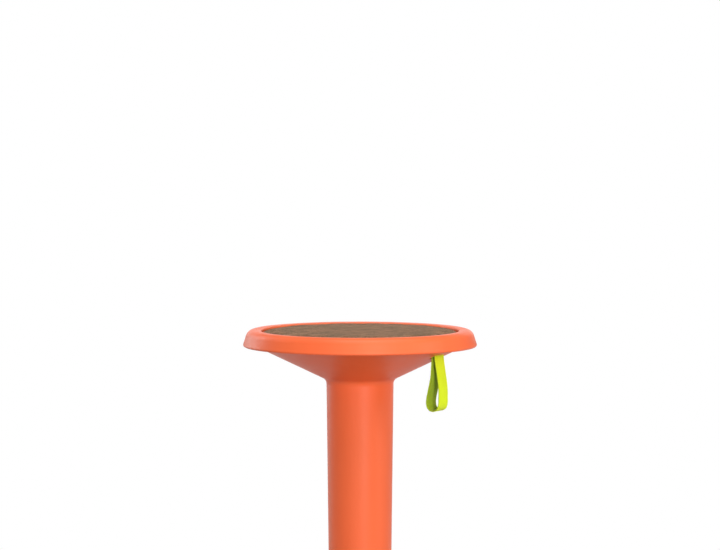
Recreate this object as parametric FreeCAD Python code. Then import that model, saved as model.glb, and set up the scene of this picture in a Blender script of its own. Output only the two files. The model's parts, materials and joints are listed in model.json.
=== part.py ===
import FreeCAD
import Part
import math
import os

# Height-adjustable active stool: a round upholstered seat on a tapered column that telescopes into a
# footed tube. A gas spring carries the seat, and a strap under the rim pulls the lever that frees it.
# Millimetres, +Z up, origin on the floor at the column's axis, drawn with the seat fully raised.

Vector = FreeCAD.Vector
ORIGIN = Vector(0, 0, 0)
UP = Vector(0, 0, 1)
ACROSS = Vector(0, 1, 0)

# Overall sizes
LOW_HEIGHT = 450.0          # rim crest above the floor, seat right down
TRAVEL = 180.0              # stroke of the gas spring
SEAT_RADIUS = 170.0
BASE_RADIUS = 170.0
COLUMN_RADIUS = 48.95       # upper column at its neck, under the cone
COLUMN_DRAFT = 0.0117       # radius lost per millimetre down the upper column

# Seat rim and pad
RIM_DEPTH = 24.3
RIM_BEVEL = 0.32            # radius gained per millimetre down the rim's side
RIM_TOP_ROUND = 12.0
RIM_DISH = 0.105            # rise of the rim's top per millimetre outwards, up to its crest
RIM_EDGE_ROUND = 2.6
RIM_BAND = 26.1             # from the rim's widest point in to the pad's recess
RIM_WALL = 3.6
LIP_ROUND = 2.0
SEAM = 0.2                  # gap between mouldings that close on each other
PAD_DROP = 0.6              # pad face below the rim crest
PAD_GAP = 0.6               # pad to recess wall
COVER_THICKNESS = 1.0
COVER_ROUND = 1.8           # outer bend where the cover turns down
FOAM_THICKNESS = 5.9
BOARD_THICKNESS = 2.5
FLOOR_THICKNESS = 3.0

# Cone and upper column
LEDGE = 20.2                # flat underside between the rim's edge and the cone
FLANGE_THICKNESS = 3.0
CONE_SLOPE = 0.482          # fall per millimetre towards the axis
CONE_WALL = 3.0
NECK_FILLET = 10.0
COLUMN_WALL = 3.0
COLUMN_OVERLAP = 60.0       # upper column inside the lower one, seat fully raised
GLIDE_HEIGHT = 16.0
GLIDE_LIP = 2.0
GLIDE_CLEARANCE = 0.4

# Foot and lower column
FOOT_GAP = 13.0             # foot's edge above the floor
BASE_CONE_SLOPE = 0.25
BASE_WALL = 3.2
BASE_FILLET = 28.0
COLLAR_CLEARANCE = 0.5      # collar to the upper column at its widest
COLLAR_WALL = 1.3
COLLAR_FIT = 0.1
COLLAR_SKIRT = 12.0
COLLAR_LIP = 2.5
SOLE_THICKNESS = 4.0
PAN_THICKNESS = 3.0
SOLE_FLAT = 100.0           # radius of the sole that is flat on the floor
SOLE_CURVE = 158.0          # radius of the sole's rise outside the flat
SOLE_EDGE = 10.0            # foot's edge to the sole's edge
PAN_EDGE = 6.5
BASE_PLATE_RADIUS = 100.0
BASE_PLATE_THICKNESS = 8.0
BASE_PLATE_HOLE = 12.0
HUB_HEIGHT = 55.0
HUB_FLANGE = 44.0
HUB_WALL = 6.0

# Stand tube, thrust bearing and gas spring
STAND_RADIUS = 25.0
STAND_WALL = 2.5
STAND_TAPER = 0.0131
STAND_LIFT = 2.0            # stand tube above the base plate's top
STAND_FLOOR = 3.0
ROD_RADIUS = 5.0
ROD_TAIL_RADIUS = 4.0
ROD_GROOVE_RADIUS = 3.2
ROD_NECK_RADIUS = 3.5
CLIP_THICKNESS = 2.0
CLIP_GAP = 0.5
RACE_RADIUS = 15.0
RACE_THICKNESS = 2.0
BALL_RADIUS = 2.0
BALL_CIRCLE = 10.5
BALL_COUNT = 12
CAGE_THICKNESS = 1.6
CAGE_HALF = 2.8             # cage's reach on both sides of the ball circle
RUNNING = 0.05              # radial clearance of shafts that turn or slide
BUMP_HEIGHT = 13.5
BUMP_RADIUS = 14.5
BUMP_GAP = 0.5
CYLINDER_RADIUS = 14.0
CYLINDER_WALL = 2.0
CYLINDER_TAPER = 0.0262
CYLINDER_LIP = 1.2
GLAND_HEIGHT = 12.0
SEAL_HEIGHT = 6.0
PISTON_GAP = 2.8
PISTON_HEIGHT = 12.0
PISTON_CLEARANCE = 0.2
NUT_HEIGHT = 4.0
NUT_RADIUS = 7.5            # across its corners, halved
SEAL_GROOVE = 1.5
BUSH_ENGAGEMENT = 68.0      # cylinder inside the guide bush, seat fully raised
BUSH_HEIGHT = 86.0
BUSH_FLANGE = 2.0
VALVE_HEIGHT = 30.0
VALVE_PIN_RADIUS = 3.0
VALVE_PIN_DEPTH = 26.0      # pin inside the valve body
VALVE_PIN_PROUD = 5.0

# Seat mechanism, as drops below the rim crest
PLATE_DROP = 35.0           # top face of the seat plate
PLATE_THICKNESS = 3.0
PLATE_RADIUS = 90.0
CYLINDER_DROP = 34.0        # top of the gas cylinder
SOCKET_LENGTH = 34.0
SOCKET_WALL = 5.0
SOCKET_FLANGE = 34.0
SOCKET_FLANGE_THICKNESS = 4.0
PIVOT_DROP = 25.0
TIP_DROP = 17.5             # strap pin's axis
LEVER_ARM = 36.0            # pivot to the valve pin
LEVER_AZIMUTH = -31.0       # degrees from +X
LEVER_WIDTH = 16.0
LEVER_THICKNESS = 3.0
LEVER_BEND_START = 40.0
LEVER_BEND_END = 70.0
LEVER_EYE = 5.0
TIP_EYE = 3.2
PRESS_GAP = 0.3             # lever to the valve pin, untouched
PIVOT_RADIUS = 2.5
PIVOT_PROUD = 2.5           # pin ends outside the bracket's ears
GROOVE_INSET = 1.0
GROOVE_WIDTH = 1.0
BRACKET_SHEET = 2.5
BRACKET_SIDE_GAP = 2.0
FORK_GAP = 0.7
FORK_ARM = 3.2
FORK_LENGTH = 14.0

# Pull strap
STRAP_INSET = 40.3          # strap's plane in from the rim's widest point
STRAP_WIDTH = 27.4
STRAP_THICKNESS = 1.4
STRAP_PIN_RADIUS = 2.0
STRAP_DROP = 112.8          # lowest point of the loop's middle line
PINCH_FROM = 23.0           # drop where the limbs close up under the pin
PINCH_DROP = 34.0           # drop where they are closest
PINCH_HALF = 1.7
PINCH_BEND = 12.0
LOOP_OUTER = 9.0            # outer limb from the strap's plane
LOOP_INNER = 11.3           # inner limb from the strap's plane
LOOP_ROUND = 10.0           # bends at the bottom of the loop
OUTER_BELLY = 77.7          # drop where the outer limb hangs straight again
OUTER_BEND = 55.0
INNER_WAIST = 3.2           # inner limb's offset where it turns away
INNER_SPLAY = 63.0
INNER_BELLY = 97.0
INNER_BEND = 30.0
SLOT_INWARD = 7.0           # strap's plane to the slot's inner side
SLOT_OUTWARD = 4.8
SLOT_SIDE_GAP = 1.3
GUIDE_WALL = 1.0
GUIDE_STAND = 0.8

# Screws and posts: radius of circle, number, shank radius, head radius
SHELL_SCREW_INSET = 35.0
SHELL_SCREWS = 6
PLATE_SCREW_CIRCLE = 70.0
PLATE_SCREWS = 4
PAD_CLIP_CIRCLE = 100.0
PAD_CLIPS = 4
BASE_SCREW_CIRCLE = 88.0
PAN_SCREW_CIRCLE = 60.0
BASE_SCREWS = 6
SMALL_SHANK = 1.9
SMALL_HEAD = 3.8
LARGE_SHANK = 3.0
LARGE_HEAD = 5.5
SINK_DEPTH = 2.5
SMALL_POST = 5.5
LARGE_POST = 9.0
HOLE_CLEARANCE = 0.15

# Heights and radii that follow
CREST = LOW_HEIGHT + TRAVEL
BASE_PLATE_BOTTOM = SOLE_THICKNESS + PAN_THICKNESS
BASE_PLATE_TOP = BASE_PLATE_BOTTOM + BASE_PLATE_THICKNESS
HUB_TOP = BASE_PLATE_TOP + HUB_HEIGHT
STAND_BOTTOM = BASE_PLATE_TOP + STAND_LIFT
RACE_BOTTOM = STAND_BOTTOM + STAND_FLOOR
BALL_BOTTOM = RACE_BOTTOM + RACE_THICKNESS
UPPER_RACE_BOTTOM = BALL_BOTTOM + 2 * BALL_RADIUS + RUNNING
ROD_SHOULDER = UPPER_RACE_BOTTOM + RACE_THICKNESS
CYLINDER_BOTTOM = ROD_SHOULDER + BUMP_HEIGHT + BUMP_GAP + TRAVEL
STAND_TOP = CYLINDER_BOTTOM + BUSH_ENGAGEMENT
MOUTH = STAND_TOP + BUSH_FLANGE
CYLINDER_TOP = CREST - CYLINDER_DROP
PISTON_BOTTOM = CYLINDER_BOTTOM + CYLINDER_LIP + GLAND_HEIGHT + SEAL_HEIGHT + PISTON_GAP
PISTON_TOP = PISTON_BOTTOM + PISTON_HEIGHT
CLIP_TOP = STAND_BOTTOM - CLIP_GAP
CLIP_BOTTOM = CLIP_TOP - CLIP_THICKNESS
BORE_RADIUS = CYLINDER_RADIUS - CYLINDER_WALL
PLATE_TOP = CREST - PLATE_DROP
PLATE_BOTTOM = PLATE_TOP - PLATE_THICKNESS
SOCKET_BOTTOM = PLATE_BOTTOM - SOCKET_LENGTH
RECESS_RADIUS = SEAT_RADIUS - RIM_BAND
RECESS_FLOOR = CREST - PAD_DROP - COVER_THICKNESS - FOAM_THICKNESS - BOARD_THICKNESS
FLOOR_UNDERSIDE = RECESS_FLOOR - FLOOR_THICKNESS
SKIRT_RADIUS = SEAT_RADIUS - RIM_WALL
LEDGE_Z = CREST - RIM_DEPTH
CONE_TOP_RADIUS = SEAT_RADIUS - LEDGE
NECK_Z = LEDGE_Z - CONE_SLOPE * (CONE_TOP_RADIUS - COLUMN_RADIUS)
CONE_WALL_RISE = CONE_WALL * math.hypot(1, CONE_SLOPE)
COLUMN_BOTTOM = MOUTH - COLUMN_OVERLAP
SHELL_SCREW_CIRCLE = SEAT_RADIUS - SHELL_SCREW_INSET
STRAP_REACH = SEAT_RADIUS - STRAP_INSET
STRAP_TOP_HALF = STRAP_PIN_RADIUS + RUNNING + STRAP_THICKNESS / 2
FORK_HALF = STRAP_WIDTH / 2 + FORK_GAP
PIVOT_HALF = LEVER_WIDTH / 2 + BRACKET_SIDE_GAP + BRACKET_SHEET + PIVOT_PROUD
GROOVE_TO = PIVOT_HALF - GROOVE_INSET
GROOVE_FROM = GROOVE_TO - GROOVE_WIDTH
SLOT_HALF_WIDTH = STRAP_WIDTH / 2 + SLOT_SIDE_GAP + GUIDE_WALL
SLOT_INNER = STRAP_REACH - SLOT_INWARD - GUIDE_WALL
SLOT_OUTER = STRAP_REACH + SLOT_OUTWARD + GUIDE_WALL


def column_radius(z):
    """Outer radius of the drafted upper column."""
    return COLUMN_RADIUS - COLUMN_DRAFT * (NECK_Z - z)


def cone_underside(radius):
    """Height of the seat cone's outer face."""
    return LEDGE_Z - CONE_SLOPE * (CONE_TOP_RADIUS - radius)


COLLAR_RADIUS = column_radius(MOUTH + TRAVEL) + COLLAR_CLEARANCE
MOUTH_BORE = COLLAR_RADIUS + COLLAR_WALL
MOUTH_RADIUS = MOUTH_BORE + BASE_WALL


def tube_radius(z):
    """Outer radius of the lower column, which widens downwards by the same draft."""
    return MOUTH_RADIUS + COLUMN_DRAFT * (MOUTH - z)


def cylinder_radius(z):
    """Outer radius of the gas cylinder, tapered where its socket grips it."""
    return CYLINDER_RADIUS - CYLINDER_TAPER * max(0.0, z - SOCKET_BOTTOM)


def stand_radius(z):
    """Outer radius of the stand tube, tapered where the base hub grips it."""
    return STAND_RADIUS - STAND_TAPER * max(0.0, HUB_TOP - z)


def edge_corner(radius):
    """Sharp corner of a bevelled edge that, once rounded, just reaches the given radius."""
    half_angle = (math.pi / 2 - math.atan(RIM_BEVEL)) / 2
    return radius + RIM_EDGE_ROUND * (1 / math.tan(half_angle) - 1)


def crest_corner():
    """Height over the crest of the sharp corner between the dished top and the bevelled side."""
    dish, bevel = math.atan(RIM_DISH), math.atan(RIM_BEVEL)
    half_angle = (math.pi / 2 + bevel - dish) / 2
    return RIM_TOP_ROUND * (math.cos(half_angle - bevel) / math.sin(half_angle) - 1)


def rounding(before, corner, after, radius):
    """Start, middle and end of the arc that rounds a corner."""
    back = (before - corner).normalize()
    ahead = (after - corner).normalize()
    half_angle = back.getAngle(ahead) / 2
    run = radius / math.tan(half_angle)
    inward = (back + ahead).normalize()
    middle = corner + inward * (radius / math.sin(half_angle) - radius)
    return corner + back * run, middle, corner + ahead * run


def outline(*corners):
    """Closed wire in the XZ plane: (x, z), (x, z, rounding), or (point on an arc, the arc's end)."""
    tips = [corner[1] if isinstance(corner[0], tuple) else corner[:2] for corner in corners]
    tips = [Vector(x, 0, z) for x, z in tips]
    edges = []
    first = here = tips[0]
    for index, corner in enumerate(corners[1:], 1):
        tip = tips[index]
        if isinstance(corner[0], tuple):
            edges.append(Part.Arc(here, Vector(corner[0][0], 0, corner[0][1]), tip).toShape())
            here = tip
            continue
        start = end = tip
        if len(corner) == 3:
            start, middle, end = rounding(tips[index - 1], tip, tips[(index + 1) % len(tips)], corner[2])
        if not here.isEqual(start, 1e-6):
            edges.append(Part.makeLine(here, start))
        if len(corner) == 3:
            edges.append(Part.Arc(start, middle, end).toShape())
        here = end
    if not here.isEqual(first, 1e-6):
        edges.append(Part.makeLine(here, first))
    return Part.Wire(edges)


def turned(*corners):
    """Solid of revolution about the column's axis."""
    return Part.Face(outline(*corners)).revolve(ORIGIN, UP, 360)


def ring(inner, outer, bottom, top):
    """Plain ring or, with no inner radius, a disc."""
    disc = Part.makeCylinder(outer, top - bottom, Vector(0, 0, bottom))
    if inner > 0:
        disc = disc.cut(Part.makeCylinder(inner, top - bottom + 2, Vector(0, 0, bottom - 1)))
    return disc


def post(circle, angle, radius, bottom, top):
    """Upright cylinder at a place on a circle."""
    turn = math.radians(angle)
    place = Vector(circle * math.cos(turn), circle * math.sin(turn), bottom)
    return Part.makeCylinder(radius, top - bottom, place)


def around(count, first=0.0):
    """Evenly spaced angles, counted from the lever's direction."""
    return [LEVER_AZIMUTH + first + 360.0 * index / count for index in range(count)]


def joined(shapes):
    """Several touching solids as one."""
    whole = shapes[0].multiFuse(shapes[1:]) if len(shapes) > 1 else shapes[0]
    return whole.removeSplitter()


def group(shapes):
    """Several separate solids kept in one piece."""
    return Part.makeCompound(shapes)


def block(x_from, x_to, half_width, bottom, top):
    """Box centred on the lever's plane."""
    return Part.makeBox(x_to - x_from, 2 * half_width, top - bottom, Vector(x_from, -half_width, bottom))


def crossbar(x, z, radius, half_length):
    """Cylinder lying across the lever's plane."""
    return Part.makeCylinder(radius, 2 * half_length, Vector(x, -half_length, z), ACROSS)


def aimed(shape):
    """Turn a shape from the XZ plane to the lever's direction."""
    shape.rotate(ORIGIN, UP, LEVER_AZIMUTH)
    return shape


def sunk_screw(circle, angle, head_z, tip_z):
    """Countersunk screw whose head face is at head_z."""
    down = 1 if head_z > tip_z else -1
    neck_z = head_z - down * SINK_DEPTH
    turn = math.radians(angle)
    place = Vector(circle * math.cos(turn), circle * math.sin(turn), head_z)
    head = Part.makeCone(SMALL_HEAD, SMALL_SHANK, SINK_DEPTH, place, UP * -down)
    shank = post(circle, angle, SMALL_SHANK, min(neck_z, tip_z), max(neck_z, tip_z))
    return joined([head, shank])


# Upholstered pad


def pad_cover():
    """Fabric skin over the foam, turned down round its edge to the board."""
    radius = RECESS_RADIUS - PAD_GAP
    inner = radius - COVER_THICKNESS
    top = CREST - PAD_DROP
    return turned((0, top), (radius, top, COVER_ROUND), (radius, RECESS_FLOOR), (inner, RECESS_FLOOR),
                  (inner, top - COVER_THICKNESS, COVER_ROUND - COVER_THICKNESS), (0, top - COVER_THICKNESS))


def pad_foam():
    radius = RECESS_RADIUS - PAD_GAP - COVER_THICKNESS
    bottom = RECESS_FLOOR + BOARD_THICKNESS
    top = bottom + FOAM_THICKNESS
    return turned((0, bottom), (radius, bottom), (radius, top, COVER_ROUND - COVER_THICKNESS), (0, top))


def pad_board():
    board = ring(0, RECESS_RADIUS - PAD_GAP - COVER_THICKNESS, RECESS_FLOOR, RECESS_FLOOR + BOARD_THICKNESS)
    for angle in around(PAD_CLIPS, 45):
        board = board.cut(post(PAD_CLIP_CIRCLE, angle, LARGE_SHANK, RECESS_FLOOR - 1, CREST))
    return board


def pad_clips():
    """Push-in studs that hold the board in the recess."""
    clips = []
    board_top = RECESS_FLOOR + BOARD_THICKNESS
    for angle in around(PAD_CLIPS, 45):
        stud = post(PAD_CLIP_CIRCLE, angle, LARGE_SHANK, FLOOR_UNDERSIDE - 3, board_top)
        barb = post(PAD_CLIP_CIRCLE, angle, LARGE_SHANK + 1, FLOOR_UNDERSIDE - 1.8, FLOOR_UNDERSIDE - 0.3)
        clips.append(joined([stud, barb]))
    return group(clips)


# Seat mouldings


def seat_rim():
    """Top moulding: recessed floor for the pad and the rounded, bevelled rim round it."""
    corner = edge_corner(SEAT_RADIUS)
    peak = crest_corner()
    shoulder = corner - RIM_BEVEL * (RIM_DEPTH + peak)
    lip = CREST + peak - RIM_DISH * (shoulder - RECESS_RADIUS)
    inner_top = CREST - RIM_WALL
    skirt_turn = LEDGE_Z + FLANGE_THICKNESS + 0.5
    inner_shoulder = SKIRT_RADIUS - RIM_BEVEL * (inner_top - skirt_turn)
    recess_wall = RECESS_RADIUS + RIM_WALL
    shell = turned((0, RECESS_FLOOR), (RECESS_RADIUS, RECESS_FLOOR), (RECESS_RADIUS, lip, LIP_ROUND),
                   (shoulder, CREST + peak, RIM_TOP_ROUND), (corner, LEDGE_Z, RIM_EDGE_ROUND),
                   (SKIRT_RADIUS, LEDGE_Z), (SKIRT_RADIUS, skirt_turn), (inner_shoulder, inner_top, 10.0),
                   (recess_wall, inner_top, LIP_ROUND), (recess_wall, FLOOR_UNDERSIDE),
                   (0, FLOOR_UNDERSIDE))
    posts = [post(PLATE_SCREW_CIRCLE, angle, LARGE_POST, PLATE_TOP, FLOOR_UNDERSIDE + 1)
             for angle in around(PLATE_SCREWS, 45)]
    shell = joined([shell] + posts)
    for angle in around(PLATE_SCREWS, 45):
        shell = shell.cut(post(PLATE_SCREW_CIRCLE, angle, LARGE_SHANK, PLATE_TOP - 1, FLOOR_UNDERSIDE - 2))
    for angle in around(PAD_CLIPS, 45):
        hole = LARGE_SHANK + HOLE_CLEARANCE
        shell = shell.cut(post(PAD_CLIP_CIRCLE, angle, hole, FLOOR_UNDERSIDE - 1, RECESS_FLOOR + 1))
    for angle in around(SHELL_SCREWS, 30):
        shell = shell.cut(sunk_screw(SHELL_SCREW_CIRCLE, angle, RECESS_FLOOR, FLOOR_UNDERSIDE - 1))
    return shell


def seat_column():
    """Lower moulding: flange under the rim, cone, and the drafted tube that enters the foot."""
    flange_radius = SKIRT_RADIUS - SEAM
    flange_top = LEDGE_Z + FLANGE_THICKNESS
    inner_radius = COLUMN_RADIUS - COLUMN_WALL
    inner_neck = cone_underside(inner_radius) + CONE_WALL_RISE
    inner_top_radius = CONE_TOP_RADIUS - (CONE_WALL_RISE - FLANGE_THICKNESS) / CONE_SLOPE
    end_radius = column_radius(COLUMN_BOTTOM)
    shell = turned((flange_radius, flange_top), (flange_radius, LEDGE_Z), (CONE_TOP_RADIUS, LEDGE_Z, 3.0),
                   (COLUMN_RADIUS, NECK_Z, NECK_FILLET), (end_radius, COLUMN_BOTTOM),
                   (end_radius - COLUMN_WALL, COLUMN_BOTTOM),
                   (inner_radius, inner_neck, NECK_FILLET + COLUMN_WALL), (inner_top_radius, flange_top))
    middle_rise = CONE_WALL_RISE / 2
    inside = turned((COLUMN_RADIUS + 20, FLOOR_UNDERSIDE),
                    (COLUMN_RADIUS + 20, cone_underside(COLUMN_RADIUS + 20) + middle_rise),
                    (CONE_TOP_RADIUS, cone_underside(CONE_TOP_RADIUS) + middle_rise),
                    (CONE_TOP_RADIUS, FLOOR_UNDERSIDE))
    posts = [post(SHELL_SCREW_CIRCLE, angle, SMALL_POST, NECK_Z, FLOOR_UNDERSIDE).common(inside)
             for angle in around(SHELL_SCREWS, 30)]
    shell = joined([shell] + posts)
    for angle in around(SHELL_SCREWS, 30):
        shell = shell.cut(sunk_screw(SHELL_SCREW_CIRCLE, angle, RECESS_FLOOR, FLOOR_UNDERSIDE - 14))
    return shell.cut(aimed(slot_block(0)))


def slot_block(inset):
    """Block that cuts the strap's slot through the cone, or what is left inside a lining."""
    return block(SLOT_INNER + inset, SLOT_OUTER - inset, SLOT_HALF_WIDTH - inset, NECK_Z, LEDGE_Z)


def strap_guide():
    """Lining of the strap's slot, flush outside and standing a little proud inside."""
    inner, outer = COLUMN_RADIUS + 20, CONE_TOP_RADIUS
    rise = CONE_WALL_RISE + GUIDE_STAND
    band = turned((inner, cone_underside(inner)), (outer, cone_underside(outer)),
                  (outer, cone_underside(outer) + rise), (inner, cone_underside(inner) + rise))
    lining = slot_block(0).cut(slot_block(GUIDE_WALL))
    return aimed(lining.common(band))


def shell_screws():
    return group([sunk_screw(SHELL_SCREW_CIRCLE, angle, RECESS_FLOOR, FLOOR_UNDERSIDE - 14)
                  for angle in around(SHELL_SCREWS, 30)])


def column_glide():
    """Slide ring clipped on the lower end of the upper column."""
    outer = MOUTH_BORE - GLIDE_CLEARANCE
    top = COLUMN_BOTTOM + GLIDE_HEIGHT
    lip = COLUMN_BOTTOM - GLIDE_LIP
    bottom_radius = column_radius(COLUMN_BOTTOM)
    return turned((bottom_radius - COLUMN_WALL, lip), (outer, lip, 1.0), (outer, top, 1.0),
                  (column_radius(top), top), (bottom_radius, COLUMN_BOTTOM),
                  (bottom_radius - COLUMN_WALL, COLUMN_BOTTOM))


# Seat mechanism


def seat_plate():
    plate = ring(cylinder_radius(PLATE_BOTTOM) + HOLE_CLEARANCE, PLATE_RADIUS, PLATE_BOTTOM, PLATE_TOP)
    for angle in around(PLATE_SCREWS, 45):
        hole = LARGE_SHANK + HOLE_CLEARANCE
        plate = plate.cut(post(PLATE_SCREW_CIRCLE, angle, hole, PLATE_BOTTOM - 1, PLATE_TOP + 1))
    return plate


def plate_screws():
    """Pan-head screws that hold the seat plate to the top moulding's posts."""
    screws = []
    for angle in around(PLATE_SCREWS, 45):
        head = post(PLATE_SCREW_CIRCLE, angle, LARGE_HEAD, PLATE_BOTTOM - 3.5, PLATE_BOTTOM)
        shank = post(PLATE_SCREW_CIRCLE, angle, LARGE_SHANK, PLATE_BOTTOM, FLOOR_UNDERSIDE - 4)
        screws.append(joined([head, shank]))
    return group(screws)


def taper_socket():
    """Tapered socket under the seat plate that grips the gas cylinder."""
    wall = CYLINDER_RADIUS + SOCKET_WALL
    flange_z = PLATE_BOTTOM - SOCKET_FLANGE_THICKNESS
    return turned((CYLINDER_RADIUS, SOCKET_BOTTOM), (wall, SOCKET_BOTTOM), (wall, flange_z, 3.0),
                  (SOCKET_FLANGE, flange_z), (SOCKET_FLANGE, PLATE_BOTTOM),
                  (cylinder_radius(PLATE_BOTTOM), PLATE_BOTTOM))


def lever_bracket():
    """Bent sheet with two ears that carry the lever's pivot."""
    half = LEVER_WIDTH / 2 + BRACKET_SIDE_GAP + BRACKET_SHEET
    pivot_z = CREST - PIVOT_DROP
    eye = LEVER_EYE + 1
    foot = block(-LEVER_ARM - 14, -CYLINDER_RADIUS - 4, half, PLATE_TOP, PLATE_TOP + BRACKET_SHEET)
    ear = joined([block(-LEVER_ARM - eye, -LEVER_ARM + eye, half, PLATE_TOP, pivot_z),
                  crossbar(-LEVER_ARM, pivot_z, eye, half)])
    ears = ear.cut(block(-LEVER_ARM - 20, 0, half - BRACKET_SHEET, PLATE_TOP + BRACKET_SHEET, CREST))
    return aimed(joined([foot, ears]).cut(crossbar(-LEVER_ARM, pivot_z, PIVOT_RADIUS, half + 1)))


def pivot_grooves(radius):
    """Rings at both ends of the pivot pin, out to the given radius."""
    pivot_z = CREST - PIVOT_DROP
    both = []
    for side in (-1, 1):
        start = Vector(-LEVER_ARM, side * GROOVE_FROM, pivot_z)
        disc = Part.makeCylinder(radius, GROOVE_TO - GROOVE_FROM, start, ACROSS * side)
        core = Part.makeCylinder(PIVOT_RADIUS - 0.5, GROOVE_TO - GROOVE_FROM, start, ACROSS * side)
        both.append(disc.cut(core))
    return both


def pivot_pin():
    pin = crossbar(-LEVER_ARM, CREST - PIVOT_DROP, PIVOT_RADIUS, PIVOT_HALF)
    for groove in pivot_grooves(PIVOT_RADIUS + 1):
        pin = pin.cut(groove)
    return aimed(pin)


def pivot_clips():
    return aimed(group(pivot_grooves(PIVOT_RADIUS + 1.7)))


def release_lever():
    """Second-class lever: pivot behind the valve, press boss over it, fork for the strap at the tip."""
    pivot_z = CREST - PIVOT_DROP
    tip_z = CREST - TIP_DROP
    half = LEVER_THICKNESS / 2
    tip_half = FORK_HALF + FORK_ARM
    side = Part.Face(outline((-LEVER_ARM, pivot_z - half), (LEVER_BEND_START, pivot_z - half, 8.0),
                             (LEVER_BEND_END, tip_z - half, 8.0), (STRAP_REACH, tip_z - half),
                             (STRAP_REACH, tip_z + half), (LEVER_BEND_END - 1, tip_z + half, 8.0),
                             (LEVER_BEND_START - 1, pivot_z + half, 8.0), (-LEVER_ARM, pivot_z + half)))
    strip = side.extrude(ACROSS * (2 * tip_half))
    strip.translate(ACROSS * -tip_half)
    eyes = [crossbar(-LEVER_ARM, pivot_z, LEVER_EYE, tip_half),
            crossbar(STRAP_REACH, tip_z, TIP_EYE, tip_half)]
    fork_start = STRAP_REACH - FORK_LENGTH
    tip_end = STRAP_REACH + TIP_EYE + 1
    half_plan = [(-LEVER_ARM - LEVER_EYE - 1, LEVER_WIDTH / 2), (fork_start - 12.0, LEVER_WIDTH / 2),
                 (fork_start - 3, tip_half), (tip_end, tip_half), (tip_end, FORK_HALF),
                 (fork_start, FORK_HALF)]
    plan = half_plan + [(x, -y) for x, y in reversed(half_plan)]
    corners = [Vector(x, y, 0) for x, y in plan]
    outline_above = Part.Face(Part.makePolygon(corners + corners[:1])).extrude(UP * (CREST + 1))
    lever = joined([strip] + eyes).common(outline_above)
    boss_bottom = CYLINDER_TOP + VALVE_PIN_PROUD + PRESS_GAP
    boss = Part.makeCylinder(4.0, pivot_z - boss_bottom, Vector(0, 0, boss_bottom))
    lever = joined([lever, boss])
    lever = lever.cut(crossbar(-LEVER_ARM, pivot_z, PIVOT_RADIUS + RUNNING, tip_half))
    return aimed(lever.cut(crossbar(STRAP_REACH, tip_z, STRAP_PIN_RADIUS, tip_half + 1)))


def strap_pin():
    """Headed pin across the lever's fork."""
    half = FORK_HALF + FORK_ARM
    z = CREST - TIP_DROP
    head = Part.makeCylinder(STRAP_PIN_RADIUS + 1, 1.2, Vector(STRAP_REACH, half, z), ACROSS)
    return aimed(joined([crossbar(STRAP_REACH, z, STRAP_PIN_RADIUS, half + 0.6), head]))


def pull_strap():
    """Endless band: hooked over the strap pin, out through the slot and splayed into a finger loop."""
    top = STRAP_TOP_HALF
    top_z = CREST - TIP_DROP + top
    loop_z = CREST - STRAP_DROP
    x = STRAP_REACH
    outer_x, inner_x = x + LOOP_OUTER, x - LOOP_INNER
    from_z, pinch_z = CREST - PINCH_FROM, CREST - PINCH_DROP
    middle = outline((x, top_z), (x + top, top_z, top), (x + top, from_z, PINCH_BEND),
                     (x + PINCH_HALF, pinch_z, PINCH_BEND), (outer_x, CREST - OUTER_BELLY, OUTER_BEND),
                     (outer_x, loop_z, LOOP_ROUND), (inner_x, loop_z, LOOP_ROUND),
                     (inner_x, CREST - INNER_BELLY, INNER_BEND),
                     (x - INNER_WAIST, CREST - INNER_SPLAY, INNER_BEND),
                     (x - PINCH_HALF, pinch_z, PINCH_BEND), (x - top, from_z, PINCH_BEND),
                     (x - top, top_z, top))
    outer = middle.makeOffset2D(STRAP_THICKNESS / 2)
    inner = middle.makeOffset2D(-STRAP_THICKNESS / 2)
    band = Part.Face(outer).cut(Part.Face(inner)).extrude(ACROSS * STRAP_WIDTH)
    band.translate(ACROSS * (-STRAP_WIDTH / 2))
    return aimed(band)


# Gas spring


def gas_cylinder():
    return turned((BORE_RADIUS - 1.5, CYLINDER_BOTTOM), (CYLINDER_RADIUS, CYLINDER_BOTTOM, 0.8),
                  (CYLINDER_RADIUS, SOCKET_BOTTOM), (cylinder_radius(CYLINDER_TOP), CYLINDER_TOP),
                  (BORE_RADIUS, CYLINDER_TOP), (BORE_RADIUS, CYLINDER_BOTTOM + CYLINDER_LIP),
                  (BORE_RADIUS - 1.5, CYLINDER_BOTTOM + CYLINDER_LIP))


def cylinder_gland():
    """Guide that the piston rod runs in."""
    bottom = CYLINDER_BOTTOM + CYLINDER_LIP
    return ring(ROD_RADIUS + RUNNING, BORE_RADIUS, bottom, bottom + GLAND_HEIGHT)


def rod_seal():
    bottom = CYLINDER_BOTTOM + CYLINDER_LIP + GLAND_HEIGHT
    return ring(ROD_RADIUS + RUNNING, BORE_RADIUS, bottom, bottom + SEAL_HEIGHT)


def valve_body():
    return ring(VALVE_PIN_RADIUS + RUNNING, BORE_RADIUS, CYLINDER_TOP - VALVE_HEIGHT, CYLINDER_TOP)


def valve_pin():
    top = CYLINDER_TOP + VALVE_PIN_PROUD
    return turned((0, CYLINDER_TOP - VALVE_PIN_DEPTH), (VALVE_PIN_RADIUS, CYLINDER_TOP - VALVE_PIN_DEPTH),
                  (VALVE_PIN_RADIUS, top, 1.2), (0, top))


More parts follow.
